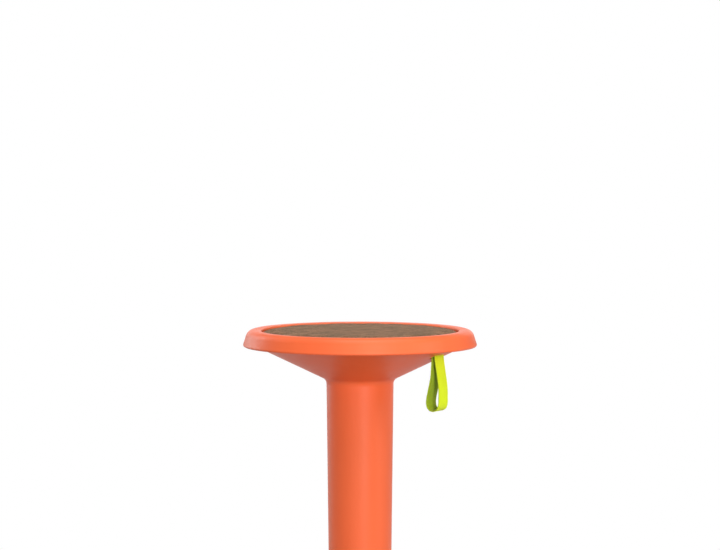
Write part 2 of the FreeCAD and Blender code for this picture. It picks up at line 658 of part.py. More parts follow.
def piston_rod():
    """Rod that stands on the thrust bearing, grooved for its clip and necked for the piston."""
    tail, groove, neck = ROD_TAIL_RADIUS, ROD_GROOVE_RADIUS, ROD_NECK_RADIUS
    end, top = CLIP_BOTTOM - 2, PISTON_TOP + NUT_HEIGHT
    return turned((0, end), (tail, end, 0.5), (tail, CLIP_BOTTOM), (groove, CLIP_BOTTOM),
                  (groove, CLIP_TOP), (tail, CLIP_TOP), (tail, ROD_SHOULDER), (ROD_RADIUS, ROD_SHOULDER),
                  (ROD_RADIUS, PISTON_BOTTOM), (neck, PISTON_BOTTOM), (neck, top), (0, top))


def seal_groove():
    """Lower and upper height of the piston's seal."""
    middle = (PISTON_BOTTOM + PISTON_TOP) / 2
    return middle - 2.0, middle + 2.0


def piston():
    outer = BORE_RADIUS - PISTON_CLEARANCE
    low, high = seal_groove()
    groove = outer - SEAL_GROOVE
    return turned((ROD_NECK_RADIUS, PISTON_BOTTOM), (outer, PISTON_BOTTOM), (outer, low), (groove, low),
                  (groove, high), (outer, high), (outer, PISTON_TOP), (ROD_NECK_RADIUS, PISTON_TOP))


def piston_seal():
    low, high = seal_groove()
    return ring(BORE_RADIUS - PISTON_CLEARANCE - SEAL_GROOVE, BORE_RADIUS - RUNNING, low, high)


def piston_nut():
    """Hexagonal nut on the rod's neck."""
    turns = [math.radians(60 * corner) for corner in range(7)]
    corners = [Vector(NUT_RADIUS * math.cos(t), NUT_RADIUS * math.sin(t), PISTON_TOP) for t in turns]
    body = Part.Face(Part.makePolygon(corners)).extrude(UP * NUT_HEIGHT)
    return body.cut(ring(0, ROD_NECK_RADIUS, PISTON_TOP - 1, PISTON_TOP + NUT_HEIGHT + 1))


def rod_clip():
    """Open retaining ring in the rod's groove, under the stand tube's floor."""
    clip = ring(ROD_GROOVE_RADIUS, ROD_TAIL_RADIUS + 4, CLIP_BOTTOM, CLIP_TOP)
    return clip.cut(block(0, 20, 1.5, CLIP_BOTTOM - 1, CLIP_TOP + 1))


def bump_stop():
    top = ROD_SHOULDER + BUMP_HEIGHT
    return turned((ROD_RADIUS, ROD_SHOULDER), (BUMP_RADIUS, ROD_SHOULDER), (BUMP_RADIUS - 2, top, 2.0),
                  (ROD_RADIUS, top))


# Thrust bearing


def bearing_upper_race():
    return ring(ROD_TAIL_RADIUS, RACE_RADIUS, UPPER_RACE_BOTTOM, ROD_SHOULDER)


def bearing_lower_race():
    return ring(ROD_TAIL_RADIUS + 2, RACE_RADIUS, RACE_BOTTOM, BALL_BOTTOM)


def balls(radius):
    turns = [math.radians(360.0 * index / BALL_COUNT) for index in range(BALL_COUNT)]
    centre_z = BALL_BOTTOM + BALL_RADIUS
    return [Part.makeSphere(radius, Vector(BALL_CIRCLE * math.cos(t), BALL_CIRCLE * math.sin(t), centre_z))
            for t in turns]


def bearing_balls():
    return group(balls(BALL_RADIUS))


def bearing_cage():
    bottom = BALL_BOTTOM + BALL_RADIUS - CAGE_THICKNESS / 2
    cage = ring(BALL_CIRCLE - CAGE_HALF, BALL_CIRCLE + CAGE_HALF, bottom, bottom + CAGE_THICKNESS)
    for pocket in balls(BALL_RADIUS + RUNNING):
        cage = cage.cut(pocket)
    return cage


# Foot


def stand_tube():
    """Tube that the seat slides on, with a floor for the thrust bearing."""
    inner = STAND_RADIUS - STAND_WALL
    floor_top = STAND_BOTTOM + STAND_FLOOR
    hole = ROD_TAIL_RADIUS + 2
    return turned((hole, STAND_BOTTOM), (stand_radius(STAND_BOTTOM), STAND_BOTTOM), (STAND_RADIUS, HUB_TOP),
                  (STAND_RADIUS, STAND_TOP), (inner, STAND_TOP), (inner, floor_top), (hole, floor_top))


def guide_bush():
    bore = CYLINDER_RADIUS + RUNNING
    seat = STAND_RADIUS - STAND_WALL
    bottom = STAND_TOP - BUSH_HEIGHT
    return turned((bore, bottom), (seat, bottom), (seat, STAND_TOP), (STAND_RADIUS, STAND_TOP),
                  (STAND_RADIUS, MOUTH), (bore, MOUTH))


def base_hub():
    """Welded hub with the taper that grips the stand tube."""
    wall = STAND_RADIUS + HUB_WALL
    flange_z = BASE_PLATE_TOP + 6.0
    return turned((stand_radius(BASE_PLATE_TOP), BASE_PLATE_TOP), (HUB_FLANGE, BASE_PLATE_TOP),
                  (HUB_FLANGE, flange_z, 1.5), (wall, flange_z, 4.0), (wall, HUB_TOP, 2.0),
                  (STAND_RADIUS, HUB_TOP))


def base_plate():
    bottom, top = BASE_PLATE_BOTTOM, BASE_PLATE_TOP
    plate = ring(BASE_PLATE_HOLE, BASE_PLATE_RADIUS, bottom, top)
    for angle in around(BASE_SCREWS):
        plate = plate.cut(sunk_screw(BASE_SCREW_CIRCLE, angle, bottom, top + 1))
        plate = plate.cut(post(PAN_SCREW_CIRCLE, angle, SMALL_SHANK, bottom - 1, top - 1))
    return plate


def base_screws():
    return group([sunk_screw(BASE_SCREW_CIRCLE, angle, BASE_PLATE_BOTTOM, BASE_PLATE_TOP + 16)
                  for angle in around(BASE_SCREWS)])


def pan_screws():
    return group([sunk_screw(PAN_SCREW_CIRCLE, angle, SOLE_THICKNESS, BASE_PLATE_TOP - 2)
                  for angle in around(BASE_SCREWS)])


def dish(bottom, thickness, edge):
    """Disc that is flat inside SOLE_FLAT and rises outside it on an arc struck from one centre."""
    def height(offset, radius):
        reach = radius - SOLE_FLAT
        return SOLE_CURVE - math.sqrt((SOLE_CURVE - offset) ** 2 - reach ** 2)

    top = bottom + thickness
    halfway = (SOLE_FLAT + edge) / 2
    return turned((0, bottom), (SOLE_FLAT, bottom),
                  ((halfway, height(bottom, halfway)), (edge, height(bottom, edge))),
                  (edge, height(top, edge)),
                  ((halfway, height(top, halfway)), (SOLE_FLAT, top)), (0, top))


def rubber_sole():
    return dish(0.0, SOLE_THICKNESS, BASE_RADIUS - SOLE_EDGE)


def bottom_pan():
    pan = dish(SOLE_THICKNESS, PAN_THICKNESS, BASE_RADIUS - PAN_EDGE)
    for angle in around(BASE_SCREWS):
        pan = pan.cut(sunk_screw(PAN_SCREW_CIRCLE, angle, SOLE_THICKNESS, BASE_PLATE_TOP))
    return pan


def base_shell():
    """Foot moulding: bevelled edge, shallow cone and the drafted tube that guides the upper column."""
    corner = edge_corner(BASE_RADIUS)
    shoulder = corner - RIM_BEVEL * RIM_DEPTH
    shoulder_z = FOOT_GAP + RIM_DEPTH
    skirt = BASE_RADIUS - RIM_WALL
    wall_drop = BASE_WALL * math.hypot(1, BASE_CONE_SLOPE)

    def cone_height(radius):
        return shoulder_z + BASE_CONE_SLOPE * (shoulder - radius)

    neck_radius = tube_radius(cone_height(MOUTH_RADIUS))
    inner_neck = neck_radius - BASE_WALL
    inner_shoulder = shoulder - BASE_WALL
    shell = turned((skirt, FOOT_GAP), (corner, FOOT_GAP, RIM_EDGE_ROUND),
                   (shoulder, shoulder_z, RIM_TOP_ROUND),
                   (neck_radius, cone_height(neck_radius), BASE_FILLET), (MOUTH_RADIUS, MOUTH),
                   (MOUTH_BORE, MOUTH),
                   (inner_neck, cone_height(inner_neck) - wall_drop, BASE_FILLET + BASE_WALL),
                   (inner_shoulder, cone_height(inner_shoulder) - wall_drop, RIM_TOP_ROUND - BASE_WALL),
                   (skirt, FOOT_GAP + 4.0))
    inside = turned((0, 0), (shoulder - 20, 0), (shoulder - 20, cone_height(shoulder - 20) - wall_drop / 2),
                    (neck_radius, cone_height(neck_radius) - wall_drop / 2),
                    (0, cone_height(neck_radius) - wall_drop / 2))
    posts = [post(BASE_SCREW_CIRCLE, angle, SMALL_POST + 0.5, BASE_PLATE_TOP, MOUTH).common(inside)
             for angle in around(BASE_SCREWS)]
    shell = joined([shell] + posts)
    for angle in around(BASE_SCREWS):
        shell = shell.cut(sunk_screw(BASE_SCREW_CIRCLE, angle, BASE_PLATE_BOTTOM, BASE_PLATE_TOP + 16))
    return shell


def column_collar():
    """Trim ring in the lower column's mouth that centres the upper one."""
    skirt = MOUTH_BORE - COLLAR_FIT
    return turned((COLLAR_RADIUS, MOUTH - COLLAR_SKIRT), (skirt, MOUTH - COLLAR_SKIRT), (skirt, MOUTH),
                  (MOUTH_RADIUS, MOUTH), (MOUTH_RADIUS, MOUTH + COLLAR_LIP, 1.2),
                  (COLLAR_RADIUS, MOUTH + COLLAR_LIP, 0.8))


PIECES = (pad_cover, pad_foam, pad_board, pad_clips, seat_rim, seat_column, strap_guide, shell_screws,
          column_glide, seat_plate, plate_screws, taper_socket, lever_bracket, pivot_pin, pivot_clips,
          release_lever, strap_pin, pull_strap, gas_cylinder, cylinder_gland, rod_seal, valve_body,
          valve_pin, piston_rod, piston, piston_seal, piston_nut, rod_clip, bump_stop, bearing_upper_race,
          bearing_lower_race, bearing_balls, bearing_cage, stand_tube, guide_bush, base_hub, base_plate,
          base_screws, pan_screws, rubber_sole, bottom_pan, base_shell, column_collar)


def main():
    os.makedirs("parts", exist_ok=True)
    for make in PIECES:
        shape = make()
        if not shape.isValid():
            raise RuntimeError(make.__name__ + " isn't a valid solid")
        shape.exportStep("parts/" + make.__name__ + ".step")
        print(make.__name__, len(shape.Solids), round(shape.Volume, 1))


main()
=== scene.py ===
import json
import math

import bmesh
import bpy
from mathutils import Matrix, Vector


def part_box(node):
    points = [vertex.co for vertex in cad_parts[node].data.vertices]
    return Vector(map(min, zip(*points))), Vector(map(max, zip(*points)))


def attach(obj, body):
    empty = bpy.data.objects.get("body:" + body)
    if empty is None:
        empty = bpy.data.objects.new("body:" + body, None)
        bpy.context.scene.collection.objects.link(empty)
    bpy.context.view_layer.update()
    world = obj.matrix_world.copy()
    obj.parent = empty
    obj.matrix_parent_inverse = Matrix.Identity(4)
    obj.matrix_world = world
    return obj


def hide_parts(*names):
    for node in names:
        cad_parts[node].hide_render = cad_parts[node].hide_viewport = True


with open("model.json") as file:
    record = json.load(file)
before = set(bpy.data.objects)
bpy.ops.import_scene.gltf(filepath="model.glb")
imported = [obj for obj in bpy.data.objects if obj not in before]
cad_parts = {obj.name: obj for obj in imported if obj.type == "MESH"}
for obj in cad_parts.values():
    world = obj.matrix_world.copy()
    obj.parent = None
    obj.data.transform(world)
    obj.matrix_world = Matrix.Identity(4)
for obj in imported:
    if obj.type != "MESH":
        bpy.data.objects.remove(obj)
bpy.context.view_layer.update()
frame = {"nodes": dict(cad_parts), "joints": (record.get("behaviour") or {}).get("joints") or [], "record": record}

# Places that come from the frame, in metres

RIM_LOW, RIM_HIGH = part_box("seat_rim")
CREST = RIM_HIGH.z
PAD_LOW, PAD_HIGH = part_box("pad_cover")
PAD_RADIUS = PAD_HIGH.x
JOINTS = {joint["name"]: joint for joint in frame["joints"]}
STRAP_PIVOT = Vector(JOINTS["strap_swing"]["pos_m"])
STRAP_ACROSS = Vector(JOINTS["strap_swing"]["axis"])
STRAP_OUT = Vector((STRAP_PIVOT.x, STRAP_PIVOT.y, 0.0)).normalized()


# Camera: level with the seat, far back, looking just below the horizon

CAMERA_DISTANCE = 4.0
CAMERA_RISE = math.radians(4.39)        # camera above the crest's centre, seen from there
CAMERA_TILT = math.radians(-3.2565)
FRAME_WIDTH = 1.0475                    # width of the picture at the seat
SENSOR = 36.0


def add_camera():
    data = bpy.data.cameras.new("camera")
    data.sensor_width = SENSOR
    data.lens = SENSOR * CAMERA_DISTANCE / FRAME_WIDTH
    data.clip_end = 200.0
    camera = bpy.data.objects.new("camera", data)
    bpy.context.scene.collection.objects.link(camera)
    camera.location = (0.0, -CAMERA_DISTANCE * math.cos(CAMERA_RISE),
                       CREST + CAMERA_DISTANCE * math.sin(CAMERA_RISE))
    camera.rotation_euler = (math.pi / 2 + CAMERA_TILT, 0.0, 0.0)
    bpy.context.scene.camera = camera


# Node helpers


def new_material(name):
    material = bpy.data.materials.new(name)
    material.use_nodes = True
    return material


def shader(material):
    return material.node_tree.nodes["Principled BSDF"]


def add(material, kind, **settings):
    node = material.node_tree.nodes.new(kind)
    for key, value in settings.items():
        setattr(node, key, value)
    return node


def wire(material, source, target):
    material.node_tree.links.new(source, target)


def place(material, kind="Object", scale=(1.0, 1.0, 1.0)):
    """Texture coordinates, stretched by a scale per axis."""
    coords = add(material, "ShaderNodeTexCoord")
    mapping = add(material, "ShaderNodeMapping")
    mapping.inputs["Scale"].default_value = scale
    wire(material, coords.outputs[kind], mapping.inputs["Vector"])
    return mapping.outputs["Vector"]


def noise(material, vector, scale, detail=2.0, roughness=0.5):
    node = add(material, "ShaderNodeTexNoise")
    node.inputs["Scale"].default_value = scale
    node.inputs["Detail"].default_value = detail
    node.inputs["Roughness"].default_value = roughness
    wire(material, vector, node.inputs["Vector"])
    return node.outputs["Fac"]


def ramp(material, fac, *stops):
    """Colour ramp: each stop is (position, colour)."""
    node = add(material, "ShaderNodeValToRGB")
    elements = node.color_ramp.elements
    while len(elements) < len(stops):
        elements.new(0.5)
    for element, (position, colour) in zip(elements, stops):
        element.position = position
        element.color = (*colour, 1.0)
    wire(material, fac, node.inputs["Fac"])
    return node.outputs["Color"]


def spread(material, fac, low, high, from_low=0.3, from_high=0.7):
    """Map a range of values onto another, clamped at both ends."""
    node = add(material, "ShaderNodeMapRange")
    limits = {"From Min": from_low, "From Max": from_high, "To Min": low, "To Max": high}
    for key, value in limits.items():
        node.inputs[key].default_value = value
    wire(material, fac, node.inputs["Value"])
    return node.outputs["Result"]


def math_node(material, operation, first, second=0.0, third=0.0):
    node = add(material, "ShaderNodeMath", operation=operation)
    for socket, value in zip(node.inputs, (first, second, third)):
        if isinstance(value, (int, float)):
            socket.default_value = value
        else:
            wire(material, value, socket)
    return node.outputs["Value"]


def mix_colour(material, fac, first, second, blend="MIX"):
    node = add(material, "ShaderNodeMix", data_type="RGBA", blend_type=blend)
    for socket, value in zip((node.inputs[0], node.inputs[6], node.inputs[7]), (fac, first, second)):
        if isinstance(value, (int, float)):
            socket.default_value = value
        elif isinstance(value, tuple):
            socket.default_value = (*value, 1.0)
        else:
            wire(material, value, socket)
    return node.outputs[2]


def bump(material, height, strength, distance, below=None):
    node = add(material, "ShaderNodeBump")
    node.inputs["Strength"].default_value = strength
    node.inputs["Distance"].default_value = distance
    wire(material, height, node.inputs["Height"])
    if below is not None:
        wire(material, below, node.inputs["Normal"])
    return node.outputs["Normal"]


# Materials


def orange_plastic():
    """Satin moulded plastic: faint flow marks, a fine sparked grain, and scuffs low down on the foot."""
    material = new_material("orange_plastic")
    bsdf = shader(material)
    bsdf.inputs["Specular IOR Level"].default_value = 0.30
    vector = place(material)
    flow = noise(material, place(material, scale=(5.0, 5.0, 1.6)), 3.0, 3.0)
    colour = ramp(material, flow, (0.30, (0.880, 0.138, 0.040)), (0.70, (0.925, 0.153, 0.047)))
    scratches = noise(material, place(material, scale=(1.0, 1.0, 9.0)), 70.0, 5.0, 0.7)
    split = add(material, "ShaderNodeSeparateXYZ")
    wire(material, vector, split.inputs["Vector"])
    low_down = spread(material, split.outputs["Z"], 1.0, 0.0, 0.010, 0.055)
    scuffs = math_node(material, "MULTIPLY", spread(material, scratches, 0.0, 1.0, 0.60, 0.72), low_down)
    wire(material, mix_colour(material, scuffs, colour, (0.66, 0.20, 0.12)), bsdf.inputs["Base Color"])
    satin = spread(material, noise(material, vector, 38.0, 4.0, 0.6), 0.40, 0.48)
    wire(material, math_node(material, "MULTIPLY_ADD", scuffs, 0.25, satin), bsdf.inputs["Roughness"])
    normal = bump(material, noise(material, vector, 26.0, 1.0), 0.05, 0.002)
    grain = noise(material, vector, 1900.0, 2.0)
    wire(material, bump(material, grain, 0.10, 0.00012, normal), bsdf.inputs["Normal"])
    return material


def plain_plastic(name, dark, light, rough):
    material = new_material(name)
    bsdf = shader(material)
    vector = place(material)
    wire(material, ramp(material, noise(material, vector, 30.0, 3.0), (0.3, dark), (0.7, light)),
         bsdf.inputs["Base Color"])
    wire(material, spread(material, noise(material, vector, 90.0, 3.0), rough - 0.06, rough + 0.06),
         bsdf.inputs["Roughness"])
    grain = noise(material, vector, 1500.0, 2.0)
    wire(material, bump(material, grain, 0.15, 0.0001), bsdf.inputs["Normal"])
    return material


def metal(name, dark, light, rough, stretch=(1.0, 1.0, 1.0), metallic=1.0):
    material = new_material(name)
    bsdf = shader(material)
    bsdf.inputs["Metallic"].default_value = metallic
    vector = place(material, scale=stretch)
    marks = noise(material, vector, 240.0, 4.0, 0.6)
    wire(material, ramp(material, marks, (0.3, dark), (0.7, light)), bsdf.inputs["Base Color"])
    wire(material, spread(material, marks, rough - 0.05, rough + 0.08), bsdf.inputs["Roughness"])
    wire(material, bump(material, marks, 0.12, 0.00008), bsdf.inputs["Normal"])
    return material


def rubber():
    material = new_material("rubber")
    bsdf = shader(material)
    vector = place(material)
    dust = noise(material, vector, 22.0, 5.0, 0.65)
    tone = ramp(material, dust, (0.42, (0.022, 0.022, 0.024)), (0.72, (0.060, 0.056, 0.052)))
    wire(material, tone, bsdf.inputs["Base Color"])
    wire(material, spread(material, dust, 0.62, 0.82), bsdf.inputs["Roughness"])
    grain = noise(material, vector, 900.0, 3.0)
    wire(material, bump(material, grain, 0.3, 0.0002), bsdf.inputs["Normal"])
    return material


THREAD = 0.0011             # spacing of the weave's threads


def pad_fabric():
    """Melange upholstery cloth: a plain weave of mixed brown yarns, with slubs along both threads."""
    material = new_material("pad_fabric")
    bsdf = shader(material)
    bsdf.inputs["Sheen Weight"].default_value = 0.06
    bsdf.inputs["Sheen Roughness"].default_value = 0.45
    bsdf.inputs["Sheen Tint"].default_value = (0.80, 0.66, 0.58, 1.0)
    bsdf.inputs["Specular IOR Level"].default_value = 0.1
    split = add(material, "ShaderNodeSeparateXYZ")
    wire(material, place(material), split.inputs["Vector"])
    turns = [math_node(material, "MULTIPLY", split.outputs[axis], math.pi / THREAD) for axis in "XY"]
    warp, weft = [math_node(material, "SINE", turn) for turn in turns]
    over = math_node(material, "MULTIPLY", warp, weft)
    warp_slub = noise(material, place(material, scale=(900.0, 110.0, 200.0)), 1.0, 2.0)
    weft_slub = noise(material, place(material, scale=(110.0, 900.0, 200.0)), 1.0, 2.0)
    picked = add(material, "ShaderNodeMix", data_type="FLOAT")
    wire(material, math_node(material, "GREATER_THAN", over, 0.0), picked.inputs[0])
    wire(material, warp_slub, picked.inputs[2])
    wire(material, weft_slub, picked.inputs[3])
    fleck = ramp(material, picked.outputs[0], (0.34, (0.112, 0.056, 0.026)),
                 (0.50, (0.230, 0.128, 0.066)), (0.66, (0.370, 0.238, 0.140)))
    cloud = noise(material, place(material), 55.0, 4.0, 0.6)
    shade = ramp(material, cloud, (0.36, (0.76, 0.78, 0.74)), (0.64, (1.24, 1.18, 1.20)))
    wire(material, mix_colour(material, 1.0, fleck, shade, "MULTIPLY"), bsdf.inputs["Base Color"])
    wire(material, spread(material, cloud, 0.82, 0.95), bsdf.inputs["Roughness"])
    fuzz = noise(material, place(material), 700.0, 3.0)
    normal = bump(material, math_node(material, "ABSOLUTE", over), 0.55, 0.0004)
    wire(material, bump(material, fuzz, 0.35, 0.0005, normal), bsdf.inputs["Normal"])
    return material


STRAP_WIDTH = 0.0274
STRAP_THICKNESS = 0.0014
RIB = 0.0010                # spacing of the webbing's ribs


def strap_webbing():
    """Close lime webbing: slanted ribs, fine yarns, and painted shade that colours the inside face of the loop
    darker.
    """
    material = new_material("strap_webbing")
    bsdf = shader(material)
    bsdf.inputs["Sheen Weight"].default_value = 0.05
    bsdf.inputs["Specular IOR Level"].default_value = 0.22
    split = add(material, "ShaderNodeSeparateXYZ")
    wire(material, place(material, "UV"), split.inputs["Vector"])
    along, across = split.outputs["X"], split.outputs["Y"]
    fold = math_node(material, "PINGPONG", across, 0.0034)
    slanted = math_node(material, "ADD", along, fold)
    ribs = math_node(material, "SINE", math_node(material, "MULTIPLY", slanted, 2 * math.pi / RIB))
    yarns = noise(material, place(material, "UV", (260.0, 1500.0, 1.0)), 1.0, 2.0)
    height = math_node(material, "ADD", ribs, yarns)
    tone = ramp(material, spread(material, height, 0.0, 1.0, -1.0, 2.0), (0.10, (0.700, 0.870, 0.004)),
                (0.85, (0.840, 0.970, 0.009)))
    # Painted shade: the inside face of the loop is coloured darker than the outside face.
    inside = math_node(material, "GREATER_THAN", across, STRAP_WIDTH + STRAP_THICKNESS / 2)
    painted_inside_shade = mix_colour(material, 1.0, tone, (0.56, 0.63, 2.40), "MULTIPLY")
    wire(material, mix_colour(material, inside, tone, painted_inside_shade), bsdf.inputs["Base Color"])
    wire(material, spread(material, yarns, 0.55, 0.72), bsdf.inputs["Roughness"])
    wire(material, bump(material, height, 0.35, 0.00015), bsdf.inputs["Normal"])
    return material


def foam():
    material = new_material("foam")
    bsdf = shader(material)
    cells = add(material, "ShaderNodeTexVoronoi")
    cells.inputs["Scale"].default_value = 700.0
    wire(material, place(material), cells.inputs["Vector"])
    tone = ramp(material, cells.outputs["Distance"], (0.0, (0.55, 0.52, 0.42)), (0.6, (0.80, 0.77, 0.66)))
    wire(material, tone, bsdf.inputs["Base Color"])
    bsdf.inputs["Roughness"].default_value = 0.92
    wire(material, bump(material, cells.outputs["Distance"], 0.6, 0.0006), bsdf.inputs["Normal"])
    return material


def fibre_board():
    material = new_material("fibre_board")
    bsdf = shader(material)
    fibres = noise(material, place(material, scale=(1.0, 3.0, 1.0)), 260.0, 5.0, 0.7)
    wire(material, ramp(material, fibres, (0.3, (0.26, 0.15, 0.07)), (0.7, (0.46, 0.30, 0.16))),
         bsdf.inputs["Base Color"])
    bsdf.inputs["Roughness"].default_value = 0.85
    wire(material, bump(material, fibres, 0.3, 0.0003), bsdf.inputs["Normal"])
    return material


def make_materials():
    """One material for each slot of the record."""
    return {
        "orange_shell": orange_plastic(),
        "pad_fabric": pad_fabric(),
        "pad_foam": foam(),
        "pad_board": fibre_board(),
        "black_plastic": plain_plastic("black_plastic", (0.012, 0.012, 0.013),
                                       (0.024, 0.024, 0.026), 0.45),
        "natural_plastic": plain_plastic("natural_plastic", (0.62, 0.60, 0.54),
                                         (0.74, 0.72, 0.66), 0.35),
        "black_steel": metal("black_steel", (0.014, 0.014, 0.015),
                             (0.030, 0.030, 0.032), 0.42, metallic=0.2),
        "zinc_steel": metal("zinc_steel", (0.42, 0.43, 0.45),
                            (0.62, 0.63, 0.64), 0.34, (1.0, 1.0, 0.2)),
        "chrome_rod": metal("chrome_rod", (0.62, 0.62, 0.64),
                            (0.76, 0.76, 0.78), 0.12, (1.0, 1.0, 6.0)),
        "black_rubber": rubber(),
        "lime_strap": strap_webbing(),
    }


def dress_frame(materials):
    """Give every CAD node the detailed material of its slot."""
    slots = {part["node"]: part["material_slot"] for part in frame["record"]["subparts"]}
    for name, node in frame["nodes"].items():
        node.data.materials.clear()
        node.data.materials.append(materials[slots[name]])


# Mesh helpers


def finish_mesh(name, shape, material):
    """Turn a bmesh into a smooth-shaded piece with one material."""
    bmesh.ops.recalc_face_normals(shape, faces=shape.faces)
    mesh = bpy.data.meshes.new(name)
    shape.to_mesh(mesh)
    shape.free()
    mesh.materials.append(material)
    mesh.polygons.foreach_set("use_smooth", [True] * len(mesh.polygons))
    piece = bpy.data.objects.new(name, mesh)
    bpy.context.scene.collection.objects.link(piece)
    return piece


def apply_modifiers(piece):
    bpy.context.view_layer.update()
    shown = piece.evaluated_get(bpy.context.evaluated_depsgraph_get())
    final = bpy.data.meshes.new_from_object(shown)
    piece.modifiers.clear()
    piece.data = final


# Seat pad: a disc of cloth over foam, swollen by a cloth simulation inside its recess

PAD_CELLS = 72              # grid cells across the disc
PAD_ROLL = 0.0034           # bend where the cloth turns down
PAD_ROLL_ROWS = 4
PAD_SIDE_ROWS = 2
PAD_SLACK = 0.0012          # the sewn shape is this much smaller than the finished pad
PAD_LIMIT = 0.0017          # furthest that a point swells
PAD_FRAMES = 20
PUCKERS = 96                # small folds round the edge
PUCKER_DEPTH = 0.00022
PUCKER_REACH = 0.012
HELD_HEIGHT = 0.0005        # cloth within this of the pad's underside stays put
FLAT_HEIGHT = 0.001         # and within this of it has no folds


def disc_grid(shape, radius, height):
    """Square grid stretched over a disc; gives its vertices by row and column."""
    steps = [2.0 * index / PAD_CELLS - 1.0 for index in range(PAD_CELLS + 1)]
    grid = []
    for v in steps:
        grid.append([shape.verts.new((radius * u * math.sqrt(1 - v * v / 2),
                                      radius * v * math.sqrt(1 - u * u / 2), height)) for u in steps])
    for row, above in zip(grid, grid[1:]):
        for corner in range(PAD_CELLS):
            shape.faces.new((row[corner], row[corner + 1], above[corner + 1], above[corner]))
    return grid


def grid_edge(grid):
    """The disc's outer vertices, in order round it."""
    right, left = [row[-1] for row in grid[:-1]], [row[0] for row in grid[:0:-1]]
    return grid[0][:-1] + right + grid[-1][:0:-1] + left


def bridge(shape, ring, next_ring):
    """Faces between two rings of as many vertices."""
    for index, vertex in enumerate(ring):
        following = (index + 1) % len(ring)
        shape.faces.new((vertex, ring[following], next_ring[following], next_ring[index]))


def pad_body(material):
    """Closed disc with a rolled upper edge, slightly smaller than the finished pad."""
    radius, low, high = PAD_RADIUS - PAD_SLACK, PAD_LOW.z, PAD_HIGH.z - PAD_SLACK
    shape = bmesh.new()
    ring = grid_edge(disc_grid(shape, radius - PAD_ROLL, high))
    below = grid_edge(disc_grid(shape, radius, low))
    turns = [math.atan2(vertex.co.y, vertex.co.x) for vertex in ring]
    profile = [(radius - PAD_ROLL * (1 - math.sin(a)), high - PAD_ROLL * (1 - math.cos(a)))
               for a in [math.pi / 2 * row / PAD_ROLL_ROWS for row in range(1, PAD_ROLL_ROWS + 1)]]
    shoulder = high - PAD_ROLL
    profile += [(radius, shoulder - (shoulder - low) * row / PAD_SIDE_ROWS)
                for row in range(1, PAD_SIDE_ROWS)]
    for reach, height in profile:
        next_ring = [shape.verts.new((reach * math.cos(t), reach * math.sin(t), height)) for t in turns]
        bridge(shape, ring, next_ring)
        ring = next_ring
    bridge(shape, ring, below)
    return finish_mesh("seat_pad", shape, material)


def swell(pad):
    """Blow the pad up with cloth, its underside held, and keep each point near where it began."""
    start = [vertex.co.copy() for vertex in pad.data.vertices]
    held = pad.vertex_groups.new(name="held")
    underside = [index for index, point in enumerate(start) if point.z < PAD_LOW.z + HELD_HEIGHT]
    held.add(underside, 1.0, "REPLACE")
    cloth = pad.modifiers.new("cloth", "CLOTH")
    settings = cloth.settings
    settings.quality = 6
    settings.mass = 0.3
    settings.tension_stiffness = settings.compression_stiffness = 18.0
    settings.bending_stiffness = 0.6
    settings.use_pressure = True
    settings.uniform_pressure_force = 4.0
    settings.vertex_group_mass = "held"
    settings.effector_weights.gravity = 0.0
    scene = bpy.context.scene
    scene.frame_start, scene.frame_end = 1, PAD_FRAMES
    for frame_number in range(1, PAD_FRAMES + 1):
        scene.frame_set(frame_number)
    apply_modifiers(pad)
    scene.frame_set(1)
    for vertex, origin in zip(pad.data.vertices, start):
        moved = vertex.co - origin
        if moved.length > 0:
            vertex.co = origin + moved * (PAD_LIMIT * math.tanh(moved.length / PAD_LIMIT) / moved.length)


def pucker(pad):
    """Small folds that fan in from the edge, and a limit at the recess wall."""
    for vertex in pad.data.vertices:
        point = vertex.co
        reach = math.hypot(point.x, point.y)
        near = max(0.0, 1.0 - (PAD_RADIUS - reach) / PUCKER_REACH)
        if near > 0 and point.z > PAD_LOW.z + FLAT_HEIGHT:
            turn = math.atan2(point.y, point.x)
            uneven = 0.6 + 0.4 * math.sin(13 * turn)
            fold = math.sin(PUCKERS * turn + 1.7 * math.sin(5 * turn)) * uneven
            point.z += PUCKER_DEPTH * near * near * fold
        if reach > PAD_RADIUS:
            point.x *= PAD_RADIUS / reach
            point.y *= PAD_RADIUS / reach
        point.z = max(point.z, PAD_LOW.z)


def add_pad(material):
    pad = pad_body(material)
    swell(pad)
    pad.modifiers.new("finer", "SUBSURF").levels = 1
    apply_modifiers(pad)
    pucker(pad)
    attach(pad, "seat")
    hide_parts("pad_cover", "pad_foam")


# Pull strap: an endless band of webbing over the strap pin, out through the slot and down in a loop

STRAP_STEP = 0.0012         # spacing of the mesh's rings along the band
# Corners of the loop's middle line from the strap pin, in millimetres: outwards, upwards, rounding
STRAP_CORNERS = ((0.0, 2.75, 0.0), (2.75, 2.75, 2.75), (2.75, -5.5, 12.0), (1.7, -16.5, 12.0),
                 (9.0, -60.2, 55.0), (9.0, -95.3, 10.0), (-11.3, -95.3, 10.0), (-11.3, -79.5, 30.0),
                 (-3.2, -45.5, 30.0), (-1.7, -16.5, 12.0), (-2.75, -5.5, 12.0), (-2.75, 2.75, 2.75))
MILLIMETRE = 0.001
STRAP_SMOOTHING = 30
HOOK_DEPTH = 0.006          # the band keeps its shape down to this far below the pin's middle
STRAP_BOW = 0.00035         # hollow of the band across its width
STRAP_TWIST = math.radians(2.0)         # each limb turns the other way
SELVEDGE = 0.0022           # width of the firmer edge
SELVEDGE_RISE = 0.00010
SELVEDGE_CORNER = 0.45      # shares of half the thickness: where the edge turns, and how wide
SELVEDGE_TURN = 0.6
EDGE_RIPPLE = 0.00008       # slight waviness of the band's edges
ACROSS_STEPS = 18


